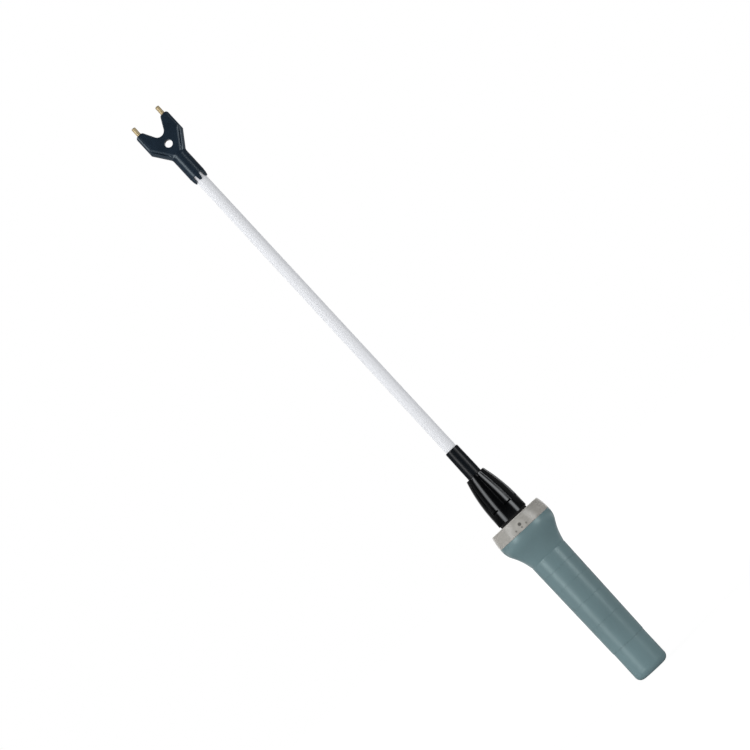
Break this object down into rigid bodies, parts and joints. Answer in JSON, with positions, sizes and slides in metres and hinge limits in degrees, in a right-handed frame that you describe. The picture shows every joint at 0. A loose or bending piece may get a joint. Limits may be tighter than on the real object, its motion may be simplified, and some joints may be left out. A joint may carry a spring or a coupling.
{
  "type": "cattle prodder",
  "caption": "Hand-held livestock prod: flared grip with screw cap, clear lamp ring, fluted collar nut, long spring-loaded shaft and forked head with brass electrodes.",
  "frame": {"origin": "centre of the flat end of the handle's cap, which the tool can stand on", "axes": "+Z along the tool from the handle's end to the electrodes, X across the fork from one electrode to the other, -Y out of the fork's front face"},
  "size_m": [0.0684, 0.0684, 0.8],
  "materials": {
    "grip_plastic": "satin teal-grey moulded plastic",
    "head_plastic": "matte blue-black moulded plastic",
    "nut_plastic": "polished black moulded plastic",
    "sleeve_plastic": "satin black plastic",
    "fibreglass": "smooth white glass-fibre tube",
    "clear_plastic": "cloudy translucent plastic",
    "brass": "plain turned brass",
    "seal_rubber": "black seal rubber",
    "steel": "plain steel",
    "cell_jacket": "plain dark metal can",
    "inner_plastic": "natural nylon",
    "hub_plastic": "black moulded plastic",
    "button_plastic": "red plastic",
    "board_laminate": "green circuit board",
    "ferrite": "dark grey ferrite",
    "copper": "enamelled copper winding",
    "component_case": "moulded component case",
    "wire_red": "red insulated wire",
    "wire_black": "black insulated wire"
  },
  "bodies": {
    "handle": {"handle_shell": "grip_plastic", "cap_gasket": "seal_rubber", "battery_lower": "cell_jacket", "battery_upper": "cell_jacket", "negative_strip": "brass", "contact_bulkhead": "inner_plastic", "positive_contact": "brass", "circuit_board": "board_laminate", "transformer_core": "ferrite", "transformer_coil": "copper", "capacitor": "component_case", "power_transistor": "component_case", "neck_hub": "hub_plastic", "hub_screws": "steel", "clear_ring": "clear_plastic", "ring_seal": "seal_rubber", "led_holder": "inner_plastic", "indicator_led": "button_plastic", "led_leads": "steel", "contact_sockets": "brass", "press_switch": "hub_plastic", "press_spring": "steel", "collar_washer": "seal_rubber"},
    "cap_carrier": {"cap_contact": "brass", "battery_spring": "steel"},
    "cap": {"end_cap": "grip_plastic"},
    "button": {"switch_button": "button_plastic"},
    "nut_carrier": {"nose_bush": "inner_plastic", "wiper_seal": "seal_rubber"},
    "nut": {"collar_nut": "nut_plastic"},
    "shaft": {"plunger_foot": "inner_plastic", "contact_pins": "brass", "shaft_sleeve": "sleeve_plastic", "shaft_tube": "fibreglass", "lead_left": "wire_red", "lead_right": "wire_black", "head_front_shell": "head_plastic", "head_back_shell": "head_plastic", "head_screws": "steel", "electrode_left": "brass", "electrode_right": "brass"}
  },
  "joints": [
    {"name": "shaft_press", "type": "slide", "parent": "handle", "child": "shaft", "axis": [0, 0, 1], "range_m": [-0.005, 0], "stiffness_N_per_m": 1500, "springref_m": 0.006, "deforming": ["press_spring"]},
    {"name": "button_press", "type": "slide", "parent": "handle", "child": "button", "axis": [0, 0, 1], "range_m": [-0.005, 0]},
    {"name": "nut_rise", "type": "slide", "parent": "handle", "child": "nut_carrier", "axis": [0, 0, 1], "range_m": [0, 0.0151]},
    {"name": "nut_turn", "type": "hinge", "parent": "nut_carrier", "child": "nut", "pos_m": [0, 0, 0.2513], "axis": [0, 0, 1], "range_deg": [0, 1800]},
    {"name": "cap_drop", "type": "slide", "parent": "handle", "child": "cap_carrier", "axis": [0, 0, -1], "range_m": [0, 0.0151]},
    {"name": "cap_turn", "type": "hinge", "parent": "cap_carrier", "child": "cap", "pos_m": [0, 0, 0.0205], "axis": [0, 0, -1], "range_deg": [0, 1800]}
  ],
  "couplings": [
    {"joint": "button_press", "follows": "shaft_press", "ratio": 1},
    {"joint": "nut_rise", "follows": "nut_turn", "m_per_rad": 0.00047746},
    {"joint": "cap_drop", "follows": "cap_turn", "m_per_rad": 0.00047746}
  ]
}
